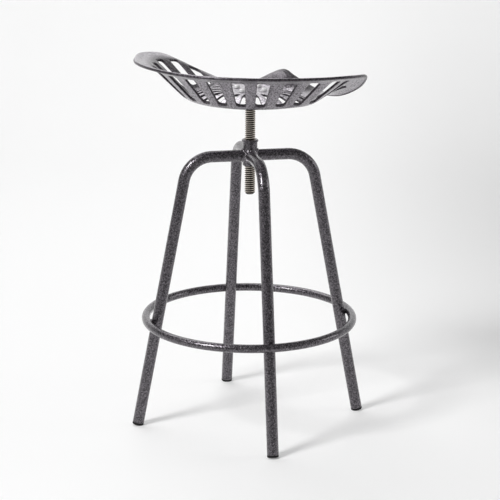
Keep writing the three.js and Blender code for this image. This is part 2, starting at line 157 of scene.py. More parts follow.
# Fineness of the meshes: sides round a tube, steps along it
LEG_SIDES = 48
ARM_STEPS, BEND_STEPS, LEG_STEPS = 7, 40, 29
RING_SIDES, RING_STEPS = 32, 288
WELD_SIDES = 10
HUB_WELD_STEPS, RING_WELD_STEPS, PLATE_WELD_STEPS = 96, 24, 90
COLLAR_SIDES, PLATE_SIDES = 96, 128
SMALL_SIDES, SHANK_SIDES = 64, 32
THREAD_SIDES = 64
HEAD_SIDES = 48
RIM_STEPS = 480
HOLE_SIDES = 32
CORNER_STEPS = 8

# The pan's floor and wall, as rings of points: shares of the way out to the rim, and points in a ring
FLOOR_RINGS = [(0.05, 12), (0.1, 20), (0.16, 28), (0.22, 40), (0.28, 56), (0.34, 72), (0.4, 88), (0.45, 100)]
WALL_RING_START, WALL_RING_END, WALL_RING_STEP = 0.49, 0.975, 0.018
WALL_RING_POINTS, WALL_RING_GAIN = 150, 90
WALL_RING_SPAN = 0.48  # over which a ring gains so many points
LEAST_POINT_GAP = 1.6  # from a ring's point to an outline

# Tolerances: the first two in metres, the rest in millimetres
SAME_PLACE = 1e-6
SLIVER = 1e-7
SAME_POINT = 1e-6
SLOPE_STEP = 0.05

# Painted shade on the seat: how far it darkens the paint on each part. One part gives way to the next over a
# range of shares of the way out to the rim, or of degrees from the back
WALL_SHADE, SLOTS_SHADE, FRONT_SHADE = 0.18, 0.88, 0.95
UNDERSIDE_SHADE, UNDERSIDE_SHADE_FADE = 0.5, 0.14
WALL_RANGE, SLOTS_BEGIN, SLOTS_END, FRONT_BEGIN = (0.42, 0.6), (0.5, 0.58), (0.85, 0.93), (0.6, 0.78)
SLOTS_SIDE, FRONT_SIDE, UNDERSIDE_SIDE = (112, 125), (125, 150), (60, 90)
BEAD_SHADE_START, BEAD_SHADE_SPAN = 60, 30  # degrees round the bead, over which its painted shade rises to the darkest

# Heights from the imported model, in millimetres
plate_low, plate_high = (corner.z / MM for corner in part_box("seat_plate"))
screw_low, screw_high = (corner.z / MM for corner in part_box("lifting_screw"))
collar_low, collar_high = (corner.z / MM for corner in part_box("hub_collar"))
pan_underside = plate_high + WELD_GAP
pan_floor = pan_underside + PAN_WALL
pan_foot = pan_underside + PAN_WALL / 2 - PAN_CROWN


# Mesh helpers

def piece(name, verts, faces, body, node, material, sharp=40, shade_marks=None):
    """A mesh in millimetres that rides on a body and, where node is given, stands for that CAD node.

    Edges of more than sharp degrees stay sharp. The last argument gives a number of painted shade for each
    vertex, which the paint reads.
    """
    mesh = bpy.data.meshes.new(name)
    mesh.from_pydata([tuple(v) for v in np.asarray(verts, float) * MM], [], faces)
    mesh.update()
    built = bmesh.new()
    built.from_mesh(mesh)
    # Painted shade, one number for each vertex, kept for the seat's paint to read
    if shade_marks is not None:
        layer = built.verts.layers.float.new("painted_shade")
        for vert, value in zip(built.verts, shade_marks):
            vert[layer] = value
    bmesh.ops.remove_doubles(built, verts=built.verts, dist=SAME_PLACE)
    bmesh.ops.dissolve_degenerate(built, edges=built.edges, dist=SLIVER)
    bmesh.ops.recalc_face_normals(built, faces=built.faces)
    built.to_mesh(mesh)
    built.free()
    mesh.polygons.foreach_set("use_smooth", [True] * len(mesh.polygons))
    mesh.set_sharp_from_angle(angle=math.radians(sharp))
    mesh.materials.append(material)
    thing = bpy.data.objects.new(name, mesh)
    scene.collection.objects.link(thing)
    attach(thing, body)
    if node:
        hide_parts(node)


def round_angles(count):
    """Angles spaced evenly over a full turn."""
    return [FULL_TURN * k / count for k in range(count)]


def rounded(points, steps=5):
    """A closed profile of (radius, height, corner radius), with its corners rounded."""
    out = []
    count = len(points)
    for i, (x, y, size) in enumerate(points):
        here = np.array([x, y], float)
        before = np.array(points[i - 1][:2], float) - here
        after = np.array(points[(i + 1) % count][:2], float) - here
        if size <= 0:
            out.append(here)
            continue
        before /= np.linalg.norm(before)
        after /= np.linalg.norm(after)
        half = math.acos(max(-1, min(1, float(before @ after)))) / 2
        reach = size / math.tan(half)
        centre = here + (before + after) / np.linalg.norm(before + after) * (size / math.sin(half))
        first = here + before * reach - centre
        last = here + after * reach - centre
        turn = math.atan2(first[0] * last[1] - first[1] * last[0], float(first @ last))
        for k in range(steps + 1):
            c, s = math.cos(turn * k / steps), math.sin(turn * k / steps)
            out.append(centre + [first[0] * c - first[1] * s, first[0] * s + first[1] * c])
    return out


def grid_faces(rows, columns, wrap_rows=False, wrap_columns=True):
    """Faces of a grid of vertices, which may close on itself either way."""
    faces = []
    for j in range(rows if wrap_rows else rows - 1):
        k = (j + 1) % rows
        for i in range(columns if wrap_columns else columns - 1):
            n = (i + 1) % columns
            faces.append((j * columns + i, k * columns + i, k * columns + n, j * columns + n))
    return faces


def lathed(profile, sides, closed=True):
    """A profile of (radius, height) turned about the axis."""
    verts = [(r * math.cos(a), r * math.sin(a), h) for a in round_angles(sides) for r, h in profile]
    return verts, grid_faces(sides, len(profile), wrap_rows=True, wrap_columns=closed)


def joined(verts, faces, more_verts, more_faces):
    """Two meshes as one."""
    base = len(verts)
    return verts + more_verts, faces + [tuple(base + i for i in face) for face in more_faces]


def band_faces(one, two, flipped):
    """Faces between two closed rows of as many vertices."""
    count = len(one)
    quads = [(one[i], one[(i + 1) % count], two[(i + 1) % count], two[i]) for i in range(count)]
    return [(a, d, c, b) for a, b, c, d in quads] if flipped else quads


def turned_by(points, angle):
    """Points turned about the axis, in the plan or in space."""
    points = np.asarray(points, float)
    turned = points.copy()
    c, s = math.cos(angle), math.sin(angle)
    turned[:, 0] = points[:, 0] * c - points[:, 1] * s
    turned[:, 1] = points[:, 0] * s + points[:, 1] * c
    return turned


# Shader helpers

WHITE = (1.0, 1.0, 1.0)


def new_material(name):
    """A material with its node tree and its shader."""
    material = bpy.data.materials.new(name)
    material.use_nodes = True
    return material, material.node_tree, material.node_tree.nodes["Principled BSDF"]


def object_place(tree):
    """Places in the object's own frame, in metres."""
    return tree.nodes.new("ShaderNodeTexCoord").outputs["Object"]


def noise(tree, where, scale, detail, roughness=0.5):
    """A noise texture, with its scale in features to a metre."""
    made = tree.nodes.new("ShaderNodeTexNoise")
    tree.links.new(where, made.inputs["Vector"])
    made.inputs["Scale"].default_value = scale
    made.inputs["Detail"].default_value = detail
    made.inputs["Roughness"].default_value = roughness
    return made


def toned(tree, value, stops):
    """A colour that follows a value through a ramp of (place, colour)."""
    made = tree.nodes.new("ShaderNodeValToRGB")
    elements = made.color_ramp.elements
    for element, (place, colour) in ((elements[0], stops[0]), (elements[1], stops[-1])):
        element.position = place
        element.color = (*colour, 1)
    for place, colour in stops[1:-1]:
        elements.new(place).color = (*colour, 1)
    tree.links.new(value, made.inputs["Fac"])
    return made.outputs["Color"]


def grey_toned(tree, value, stops):
    """A grey, or a number such as a roughness, that follows a value through a ramp of (place, number)."""
    return toned(tree, value, [(place, (number,) * 3) for place, number in stops])


def multiplied(tree, one, other):
    """Two colours multiplied."""
    blend = tree.nodes.new("ShaderNodeMix")
    blend.data_type = "RGBA"
    blend.blend_type = "MULTIPLY"
    blend.inputs["Factor"].default_value = 1
    tree.links.new(one, blend.inputs["A"])
    tree.links.new(other, blend.inputs["B"])
    return blend.outputs["Result"]


def relief(tree, height, strength, distance):
    """A bump, with its distance in metres."""
    bump = tree.nodes.new("ShaderNodeBump")
    bump.inputs["Strength"].default_value = strength
    bump.inputs["Distance"].default_value = distance
    tree.links.new(height, bump.inputs["Height"])
    return bump


def mapped(tree, value, before, after=(0, 1), smooth=False):
    """A value mapped from one range to another, and held at its ends."""
    made = tree.nodes.new("ShaderNodeMapRange")
    if smooth:
        made.interpolation_type = "SMOOTHSTEP"
    for name, number in zip(("From Min", "From Max", "To Min", "To Max"), (*before, *after)):
        made.inputs[name].default_value = number
    tree.links.new(value, made.inputs["Value"])
    return made.outputs["Result"]


def combined(tree, operation, one, other):
    """Two numbers put together by an operation."""
    made = tree.nodes.new("ShaderNodeMath")
    made.operation = operation
    tree.links.new(one, made.inputs[0])
    tree.links.new(other, made.inputs[1])
    return made.outputs[0]


def vector_math(tree, operation, vector, by=(0, 0, 0)):
    """A vector put through an operation, by another vector where it takes one."""
    made = tree.nodes.new("ShaderNodeVectorMath")
    made.operation = operation
    tree.links.new(vector, made.inputs[0])
    made.inputs[1].default_value = by
    return made


def connect(tree, shader, colour, roughness, bump):
    """What changes over the surface, put on the shader."""
    tree.links.new(colour, shader.inputs["Base Color"])
    tree.links.new(roughness, shader.inputs["Roughness"])
    tree.links.new(bump.outputs["Normal"], shader.inputs["Normal"])


# Materials

def warped_lumps(tree, where):
    """Distances in a pattern of soft lumps about 3 mm across, pushed about by up to 3 mm."""
    warp, most = noise(tree, where, scale=160, detail=2.0), 0.003
    shifted = vector_math(tree, "MULTIPLY_ADD", warp.outputs["Color"], (most,) * 3)
    tree.links.new(where, shifted.inputs[2])
    lumps = tree.nodes.new("ShaderNodeTexVoronoi")
    lumps.feature = "SMOOTH_F1"
    tree.links.new(shifted.outputs[0], lumps.inputs["Vector"])
    lumps.inputs["Scale"].default_value = 310
    lumps.inputs["Smoothness"].default_value = 0.6
    return lumps.outputs["Distance"]


def hammered(name, colour, swing, roughness, metal, coat, edges=None):
    """Hammered enamel: pewter paint with metal flake, drawn into small shallow lumps that break up its gloss.

    swing is how far the flake strays from the colour, as a share. edges are the two tones of painted shade
    that the colour is multiplied by where the mesh's painted shade mark is a half and one.
    """
    material, tree, shader = new_material(name)
    where = object_place(tree)
    lumps = warped_lumps(tree, where)
    flake = noise(tree, where, scale=420, detail=3.0, roughness=0.75).outputs["Fac"]
    cloud = noise(tree, where, scale=26, detail=3.0).outputs["Fac"]
    shades = [(0.3, 1 - swing), (0.5, 1), (0.7, 1 + swing * 1.3)]
    tone = toned(tree, flake, [(place, tuple(c * factor for c in colour)) for place, factor in shades])
    tone = multiplied(tree, tone, toned(tree, lumps, [(0.2, WHITE), (0.78, (0.34, 0.33, 0.34))]))
    tone = multiplied(tree, tone, toned(tree, cloud, [(0.3, (0.85, 0.85, 0.86)), (0.7, WHITE)]))
    # Painted shade: the colour is darkened by the mesh's painted shade mark
    if edges:
        shade_marks = tree.nodes.new("ShaderNodeAttribute")
        shade_marks.attribute_name = "painted_shade"
        stops = [(0.0, WHITE), (0.5, edges[0]), (1.0, edges[1])]
        tone = multiplied(tree, tone, toned(tree, shade_marks.outputs["Fac"], stops))
    gloss = grey_toned(tree, flake, [(0.3, roughness - 0.06), (0.7, roughness + 0.08)])
    low = relief(tree, lumps, strength=0.7, distance=0.0009)
    low.invert = True
    high = relief(tree, flake, strength=0.3, distance=0.0003)
    tree.links.new(low.outputs["Normal"], high.inputs["Normal"])
    connect(tree, shader, tone, gloss, high)
    shader.inputs["Metallic"].default_value = metal
    shader.inputs["Coat Weight"].default_value = coat
    shader.inputs["Coat Roughness"].default_value = 0.07
    return material


def screw_material():
    """Oiled steel with painted shade: very dark in the roots of the thread and on its flanks, steel-bright
    only on its crests.
    """
    material, tree, shader = new_material("oiled_screw_steel")
    where = object_place(tree)
    flat = vector_math(tree, "MULTIPLY", where, (1, 1, 0))
    reach = vector_math(tree, "LENGTH", flat.outputs[0])
    root_and_crest = ((SCREW_RADIUS - THREAD_DEPTH) * MM, SCREW_RADIUS * MM)
    height = mapped(tree, reach.outputs["Value"], root_and_crest)
    smear = noise(tree, where, scale=260, detail=4.0, roughness=0.6).outputs["Fac"]
    smear_share = 0.35
    mix = tree.nodes.new("ShaderNodeMath")
    mix.operation = "MULTIPLY_ADD"
    tree.links.new(smear, mix.inputs[0])
    mix.inputs[1].default_value = smear_share
    tree.links.new(height, mix.inputs[2])
    # Painted shade darkens the thread from its crests down to its roots
    root_shade, flank_shade, crest_steel = (0.012, 0.0105, 0.008), (0.05, 0.044, 0.036), (0.6, 0.545, 0.485)
    tone = toned(tree, mix.outputs[0], [(0.2, root_shade), (0.8, flank_shade), (1.0, crest_steel)])
    gloss = grey_toned(tree, smear, [(0.3, 0.14), (0.8, 0.34)])
    connect(tree, shader, tone, gloss, relief(tree, smear, strength=0.2, distance=0.0002))
    shader.inputs["Metallic"].default_value = 1.0
    return material


def zinc_material():
    """Dull zinc plate with a fine crystal grain."""
    material, tree, shader = new_material("dull_zinc_plate")
    grain = noise(tree, object_place(tree), scale=900, detail=4.0, roughness=0.65).outputs["Fac"]
    tone = toned(tree, grain, [(0.35, (0.66, 0.655, 0.66)), (0.65, (0.8, 0.795, 0.8))])
    gloss = grey_toned(tree, grain, [(0.3, 0.25), (0.7, 0.42)])
    connect(tree, shader, tone, gloss, relief(tree, grain, strength=0.15, distance=0.0001))
    shader.inputs["Metallic"].default_value = 0.15
    return material


def plastic_material():
    """Black moulded plastic with a fine grain, scuffed here and there."""
    material, tree, shader = new_material("black_moulded_plastic")
    where = object_place(tree)
    grain = noise(tree, where, scale=1400, detail=3.0).outputs["Fac"]
    scuff = noise(tree, where, scale=120, detail=5.0, roughness=0.7).outputs["Fac"]
    tone = toned(tree, scuff, [(0.4, (0.004, 0.004, 0.0045)), (0.75, (0.014, 0.0135, 0.013))])
    gloss = grey_toned(tree, scuff, [(0.3, 0.45), (0.7, 0.65)])
    connect(tree, shader, tone, gloss, relief(tree, grain, strength=0.3, distance=0.0001))
    shader.inputs["Specular IOR Level"].default_value = 0.25
    return material


frame_paint = hammered(
    "hammered_frame_paint", colour=(0.165, 0.152, 0.168), swing=0.9, roughness=0.28, metal=0.88, coat=0.6)
# The seat's paint takes two tones of painted shade, for a half mark and a full mark
seat_paint = hammered(
    "hammered_seat_paint", colour=(0.7, 0.664, 0.715), swing=0.5, roughness=0.36, metal=0.9, coat=0.4,
    edges=[(0.56, 0.555, 0.56), (0.15, 0.14, 0.15)])
# The hub's welds get a lighter colour than the frame's paint: a painted highlight, besides the glints of
# their low roughness
weld_highlight_paint = hammered(
    "weld_paint_with_painted_highlight", colour=(0.4, 0.375, 0.4), swing=0.4, roughness=0.16, metal=0.9, coat=1.0)
screw_steel = screw_material()
bolt_zinc = zinc_material()
plug_plastic = plastic_material()


# Legs, ring and welds

QUARTERS = [("right", 0), ("back", QUARTER_TURN), ("left", math.pi), ("front", -QUARTER_TURN)]


def leg_path(end_height):
    """Centreline of a leg along +X: points and directions in the plane of X and Z."""
    turn = QUARTER_TURN - LEG_TILT
    setback = LEG_BEND_RADIUS * math.tan(turn / 2)
    cx, cz = ARM_REACH - setback, ARM_HEIGHT - LEG_BEND_RADIUS
    points, directions = [], []
    for share in np.linspace(0, 1, ARM_STEPS + 1)[:-1]:
        points.append((cx * share, ARM_HEIGHT))
        directions.append((1, 0))
    for share in np.linspace(0, 1, BEND_STEPS + 1):
        a = turn * share
        points.append((cx + LEG_BEND_RADIUS * math.sin(a), cz + LEG_BEND_RADIUS * math.cos(a)))
        directions.append((math.cos(a), -math.sin(a)))
    start = np.array(points[-1])
    end = np.array([FOOT_RADIUS - end_height * math.tan(LEG_TILT), end_height])
    for share in np.linspace(0, 1, LEG_STEPS + 1)[1:]:
        points.append(tuple(start + (end - start) * share))
        directions.append((math.sin(LEG_TILT), -math.cos(LEG_TILT)))
    return points, directions


def cope(y):
    """How far out an arm starts, at y to its side: on the collar, or on the mitre with the next arm."""
    return max(math.sqrt(max((COLLAR_RADIUS + COPE_GAP) ** 2 - y * y, 0)), abs(y) + COPE_GAP)


def leg(side, angle):
    """A bent tube with an open bore: its outside from the collar down, then its inside from the foot up."""
    points, directions = leg_path(PLUG_FACE_HEIGHT + (PLUG_HEAD + WELD_GAP) * math.cos(LEG_TILT))
    last = len(points) - 1
    bore, soft = LEG_RADIUS - LEG_WALL, TUBE_END_ROUND
    middle = soft * 0.3
    stations = [(i, LEG_RADIUS, 0) for i in range(last)]
    stations += [(last, LEG_RADIUS, -TUBE_END_BAND), (last, LEG_RADIUS, -soft)]
    stations += [(last, LEG_RADIUS - middle, -middle), (last, LEG_RADIUS - soft, 0)]
    stations += [(last, bore, 0), (last, bore, -TUBE_END_BAND)]
    stations += [(i, bore, 0) for i in reversed(range(last))]
    verts = []
    for i, radius, along in stations:
        (px, pz), (dx, dz) = points[i], directions[i]
        for a in round_angles(LEG_SIDES):
            y, up = radius * math.cos(a), radius * math.sin(a)
            x = cope(y) if i == 0 else px + dx * along - dz * up
            verts.append((x, y, pz + dz * along + dx * up))
    faces = grid_faces(len(stations), LEG_SIDES, wrap_rows=True)
    verts = turned_by(verts, angle)
    piece(f"tube_leg_{side}", verts, faces, "frame", f"leg_{side}", frame_paint)


def bead_tube(path, radius, ripple, waves, closed=True):
    """A weld bead: a tube along a path, with the ripples of a run of weld, and tapered ends if it is open."""
    path = np.asarray(path, float)
    count = len(path)
    ahead = np.roll(path, -1, 0) - np.roll(path, 1, 0) if closed else np.gradient(path, axis=0)
    ahead /= np.linalg.norm(ahead, axis=1)[:, None]
    centre = path.mean(0)
    least_taper = 0.02
    verts = []
    for i in range(count):
        out = path[i] - centre
        out -= ahead[i] * (out @ ahead[i])
        out /= np.linalg.norm(out)
        across = np.cross(ahead[i], out)
        size = radius * (1 + ripple * math.sin(FULL_TURN * waves * i / count))
        if not closed:
            size *= math.sqrt(max(least_taper, 1 - (2 * i / (count - 1) - 1) ** 4))
        for a in round_angles(WELD_SIDES):
            verts.append(path[i] + out * size * math.cos(a) + across * size * math.sin(a))
    faces = grid_faces(count, WELD_SIDES, wrap_rows=closed)
    if not closed:
        end = (count - 1) * WELD_SIDES
        faces += [tuple(range(WELD_SIDES)), tuple(range(end, end + WELD_SIDES))]
    return verts, faces


def hub_weld(side, angle):
    """The bead round the end of an arm, on the collar and on the mitres with the next arms."""
    loop = []
    for a in round_angles(HUB_WELD_STEPS):
        y, z = (LEG_RADIUS + HUB_BEAD_LIFT) * math.cos(a), (LEG_RADIUS + HUB_BEAD_LIFT) * math.sin(a)
        loop.append((cope(y) + WELD_BEAD_OFFSET, y, ARM_HEIGHT + z))
    verts, faces = bead_tube(loop, WELD_BEAD_RADIUS, ripple=0.16, waves=26)
    verts = turned_by(verts, angle)
    piece(f"hub_weld_{side}", verts, faces, "frame", None, weld_highlight_paint, sharp=60)


leg_at_ring = FOOT_RADIUS - RING_HEIGHT * math.tan(LEG_TILT)
ring_path = leg_at_ring + (LEG_RADIUS + RING_RADIUS + WELD_GAP) / math.cos(LEG_TILT)


def foot_ring():
    """The rolled tube round the outside of the legs."""
    verts = []
    for a in round_angles(RING_STEPS):
        for b in round_angles(RING_SIDES):
            r = ring_path + RING_RADIUS * math.cos(b)
            verts.append((r * math.cos(a), r * math.sin(a), RING_HEIGHT + RING_RADIUS * math.sin(b)))
    faces = grid_faces(RING_STEPS, RING_SIDES, wrap_rows=True)
    piece("round_foot_ring", verts, faces, "frame", "foot_ring", frame_paint)


def ring_weld(side, angle, end, sign):
    """A short bead over or under the place where the ring touches a leg."""
    height = RING_HEIGHT + sign * RING_BEAD_RISE
    half_lean = (height - RING_HEIGHT) * math.tan(LEG_TILT) / 2
    path = []
    for k in range(RING_WELD_STEPS + 1):
        y = RING_BEAD_HALF_LENGTH * (2 * k / RING_WELD_STEPS - 1)
        wrap = (1 - math.sqrt(1 - (y / RING_BEAD_WRAP) ** 2)) * RING_BEAD_WRAP_DEPTH
        path.append((ring_path - RING_RADIUS + WELD_BEAD_OFFSET - wrap - half_lean, y, height))
    verts, faces = bead_tube(path, WELD_BEAD_RADIUS, ripple=0.1, waves=6, closed=False)
    name = f"ring_weld_{end}_{side}"
    piece(name, turned_by(verts, angle), faces, "frame", None, frame_paint, sharp=60)


# Collar

def collar():
    """The threaded tube with a flared lip that the screw turns in."""
    lip, lead = COLLAR_LIP_RADIUS, COLLAR_BORE + COLLAR_LEAD_IN
    neck = collar_high - COLLAR_LIP_HEIGHT
    profile = [
        (COLLAR_BORE, collar_low + COLLAR_LEAD_IN, 0.3), (lead, collar_low, 0.3),
        (COLLAR_RADIUS, collar_low, 0.5), (COLLAR_RADIUS, neck, 0.8),
        (lip, neck + COLLAR_LIP_ROUND, 0.6), (lip, collar_high - COLLAR_LIP_ROUND, 0.5),
        (lip - COLLAR_LIP_ROUND, collar_high, 0.5), (lead, collar_high, 0.3),
        (COLLAR_BORE, collar_high - COLLAR_LEAD_IN, 0.3),
    ]
    verts, faces = lathed(rounded(profile), COLLAR_SIDES)
    piece("threaded_collar", verts, faces, "frame", "hub_collar", frame_paint)


# Foot plugs

def plug_profile():
    """Half the section of a plug: its head, and a hollow insert with ribs that grip the tube."""
    grip = LEG_RADIUS - LEG_WALL - PLUG_CLEARANCE
    core = grip - PLUG_RIB_HEIGHT
    hollow = core - PLUG_WALL
    top = PLUG_HEAD + PLUG_INSERT_LENGTH
    profile = [(0, 0, 0), (LEG_RADIUS, 0, 0.8), (LEG_RADIUS, PLUG_HEAD, 0.3), (core, PLUG_HEAD, 0)]
    for i in range(PLUG_RIB_COUNT):
        h = PLUG_HEAD + (i + 1) * PLUG_INSERT_LENGTH / (PLUG_RIB_COUNT + 1)
        profile += [(core, h - PLUG_RIB_HEIGHT, 0), (grip, h, 0.15), (core, h + PLUG_RIB_HEIGHT, 0)]
    return profile + [(core, top, 0.4), (hollow, top, 0.4), (hollow, PLUG_HEAD, 0), (0, PLUG_HEAD, 0)]


def foot_plug(side, angle):
    """A plug tilted with its leg, with the low edge of its head flat to the floor."""
    verts, faces = lathed(rounded(plug_profile(), 4), SMALL_SIDES, closed=False)
    x, y, z = np.asarray(verts, float).T
    c, s = math.cos(-LEG_TILT), math.sin(-LEG_TILT)
    out = x * c + z * s + FOOT_RADIUS - PLUG_FACE_HEIGHT * math.tan(LEG_TILT)
    up = -x * s + z * c + PLUG_FACE_HEIGHT
    verts = turned_by(np.stack([out, y, np.maximum(up, 0)], 1), angle)
    name = f"rubbed_plug_{side}"
    piece(name, verts, faces, "frame", f"foot_plug_{side}", plug_plastic)


# Lifting screw

thread_top = plate_low - THREAD_TOP_GAP


def thread_turn():
    """Heights and radii over one turn of the thread: root, flank, crest and flank, with eased corners."""
    crest = THREAD_CREST_SHARE * SCREW_PITCH
    flank = math.tan(THREAD_FLANK_ANGLE) * THREAD_DEPTH
    rise = SCREW_PITCH - crest - 2 * flank
    fall = rise + flank + crest
    low, high = SCREW_RADIUS - THREAD_DEPTH, SCREW_RADIUS
    near, far = flank * THREAD_EASE_SHARE, flank * (1 - THREAD_EASE_SHARE)
    return [
        (0, low), (rise, low), (rise + near, low + THREAD_EASE_DEPTH), (rise + far, high - THREAD_EASE_DEPTH),
        (rise + flank, high), (fall, high), (fall + near, high - THREAD_EASE_DEPTH),
        (fall + far, low + THREAD_EASE_DEPTH),
    ]


def thread_mesh():
    """The threaded rod, chamfered at its lower end. Its thread climbs by one pitch in a turn."""
    turn = thread_turn()
    turn_count = int((thread_top - screw_low) / SCREW_PITCH) + 3
    column = [(t * SCREW_PITCH + height, r) for t in range(-1, turn_count) for height, r in turn]
    size, shift = len(column), len(turn)
    end_radius = SCREW_RADIUS - THREAD_DEPTH - SCREW_END_CHAMFER
    verts, sides = [], []
    for j, a in enumerate(round_angles(THREAD_SIDES)):
        for height, radius in column:
            h = screw_low + height + SCREW_PITCH * j / THREAD_SIDES
            h = min(max(h, screw_low), thread_top)
            r = min(radius, end_radius + (h - screw_low))
            verts.append((r * math.cos(a), r * math.sin(a), h))
        meets_first = j == THREAD_SIDES - 1
        sides.append((j * size, shift if meets_first else (j + 1) * size))
    bottom, top, last = len(verts), len(verts) + 1, size - 1 - shift
    verts += [(0, 0, screw_low), (0, 0, thread_top)]
    faces = [(here + i, there + i, there + i + 1, here + i + 1) for here, there in sides for i in range(last)]
    for here, there in sides:
        faces += [(bottom, there, here), (top, here + last, there + last)]
    return verts, faces


def lifting_screw():
    """The threaded rod, with the plain spigot on top of it that the seat plate sits round."""
    spigot = [
        (SPIGOT_RADIUS - SPIGOT_TAPER, thread_top - SPIGOT_OVERLAP),
        (SPIGOT_RADIUS, screw_high - SPIGOT_CHAMFER),
        (SPIGOT_RADIUS - SPIGOT_CHAMFER, screw_high), (0, screw_high),
    ]
    verts, faces = joined(*thread_mesh(), *lathed(spigot, SMALL_SIDES, closed=False))
    name = "threaded_lifting_screw"
    piece(name, verts, faces, "screw", "lifting_screw", screw_steel, sharp=30)


# Seat plate, washers and bolts

def seat_plate():
    """The round plate under the pan, chamfered below, with a hole for the spigot."""
    hole, edge = SPIGOT_RADIUS + WELD_GAP, PLATE_RADIUS - PLATE_CHAMFER
    profile = [
        (hole, plate_low, 0), (edge, plate_low, 0.2), (PLATE_RADIUS, plate_low + PLATE_CHAMFER, 0.2),
        (PLATE_RADIUS, plate_high, 0.2), (hole, plate_high, 0),
    ]
    verts, faces = lathed(rounded(profile), PLATE_SIDES)
    piece("round_seat_plate", verts, faces, "seat", "seat_plate", seat_paint)


def plate_weld():
    """The bead between the screw and the plate, which rides with the screw."""
    r, height = SCREW_RADIUS, plate_low - PLATE_BEAD_DROP
    loop = [(r * math.cos(a), r * math.sin(a), height) for a in round_angles(PLATE_WELD_STEPS)]
    verts, faces = bead_tube(loop, PLATE_BEAD_RADIUS, ripple=0.12, waves=24)
    piece("plate_weld", verts, faces, "screw", None, screw_steel, sharp=60)


def bolt_head():
    """A button head that stands on height 0, with a hexagon socket."""
    turn = round_angles(HEAD_SIDES)
    verts = [(r * math.cos(a), r * math.sin(a), h) for r, h in BUTTON_PROFILE for a in turn]
    top, flat = BOLT_HEAD_HEIGHT, BOLT_SOCKET_WIDTH / 2
    socket = [
        (flat + SOCKET_CHAMFER, top), (flat - SOCKET_DRAFT, top - SOCKET_CHAMFER),
        (flat - SOCKET_DRAFT, top - BOLT_SOCKET_DEPTH),
    ]
    sixth = FULL_TURN / 6
    for half_width, h in socket:
        for a in round_angles(HEAD_SIDES):
            r = half_width / math.cos(a % sixth - sixth / 2)
            verts.append((r * math.cos(a), r * math.sin(a), h))
    rows = len(BUTTON_PROFILE) + len(socket)
    last, centre = (rows - 1) * HEAD_SIDES, len(verts)
    verts.append((0, 0, top - BOLT_SOCKET_DEPTH - SOCKET_POINT_DEPTH))
    faces = grid_faces(rows, HEAD_SIDES)
    faces += [(centre, last + k, last + (k + 1) % HEAD_SIDES) for k in range(HEAD_SIDES)]
    faces.append(tuple(range(HEAD_SIDES)))
    return verts, faces


def washer_and_bolt(number, angle):
    """A washer on the pan, and a bolt whose shank goes down through the pan and its plate."""
    place = np.array([BOLT_CIRCLE * math.cos(angle), BOLT_CIRCLE * math.sin(angle), 0])
    low = pan_floor + WELD_GAP
    high = low + WASHER_THICKNESS
    hole = BOLT_RADIUS + BOLT_CLEARANCE
    washer = [(hole, low, 0.15), (WASHER_RADIUS, low, 0.25), (WASHER_RADIUS, high, 0.35), (hole, high, 0.15)]
    verts, faces = lathed(rounded(washer, 3), SMALL_SIDES)
    name, node = f"plain_washer_{number}", f"seat_washer_{number}"
    piece(name, np.asarray(verts) + place, faces, "seat", node, bolt_zinc)

    head, head_faces = bolt_head()
    head_low = high + WELD_GAP
    head = [(x, y, z + head_low) for x, y, z in head]
    shank = [
        (0, plate_low), (BOLT_RADIUS - SHANK_CHAMFER, plate_low), (BOLT_RADIUS, plate_low + SHANK_CHAMFER),
        (BOLT_RADIUS, head_low + SHANK_OVERLAP),
    ]
    verts, faces = joined(head, head_faces, *lathed(shank, SHANK_SIDES, closed=False))
    name, node = f"button_bolt_{number}", f"seat_bolt_{number}"
    piece(name, np.asarray(verts) + place, faces, "seat", node, bolt_zinc, sharp=35)


# Surface of the seat pan

def curve_through(rows, level_end):
    """A smooth curve through a table of (place, values), for whole arrays, as the part's source makes it.

    It starts level. It ends level too where level_end is true, and otherwise without curvature.
    """
    table = np.array(rows, float)
    places, values = table[:, 0], table[:, 1:]
    last = len(places) - 1

    def at(t):
        t = np.clip(np.asarray(t, float), places[0], places[-1])
        end = np.clip(np.searchsorted(places, t, side="right"), 1, last)
        start = end - 1
        t0, t1 = places[start], places[end]
        before = np.where(start > 0, start - 1, end)
        t_before = np.where(start > 0, places[start - 1], 2 * t0 - t1)
        past_end, t_past_end = (end, 2 * t1 - t0) if level_end else (start, t0)
        after = np.where(end < last, end + 1, past_end)
        t_after = np.where(end < last, places[np.minimum(end + 1, last)], t_past_end)
        half = (t1 - t0) * 0.5
        bend_in, bend_out = half / (t0 - t_before), half / (t_after - t1)
        p = (t - t0) / (t1 - t0)
        p2, p3 = p * p, p * p * p
        shares = [
            (before, -bend_in * p3 + 2 * bend_in * p2 - bend_in * p),
            (start, (1 + bend_in) * p3 + (-1.5 - 2 * bend_in) * p2 + (-0.5 + bend_in) * p + 1),
            (end, (-1 - bend_out) * p3 + (1.5 + bend_out) * p2 + 0.5 * p),
            (after, bend_out * p3 - bend_out * p2),
        ]
        return sum(share[..., None] * values[index] for index, share in shares)

    return at


rim_curve = curve_through(RIM_SHARES, level_end=True)
wall_curve = curve_through(WALL_SHARES, level_end=False)


def between(value, start, end):
    """A smooth step from 0 at start to 1 at end."""
    t = np.clip((value - start) / (end - start), 0, 1)
    return t * t * (3 - 2 * t)


def rim_at(angle):
    """The rim's reach, height and roll at an angle from the front."""
    degrees = np.abs(np.degrees(np.arctan2(np.sin(angle), np.cos(angle))))
    made = rim_curve(degrees)
    reach = made[..., 0] * SEAT_HALF_WIDTH - PAN_RIM_RADIUS
    return reach, made[..., 1] * PAN_DEPTH, made[..., 2] * FRONT_ROLL


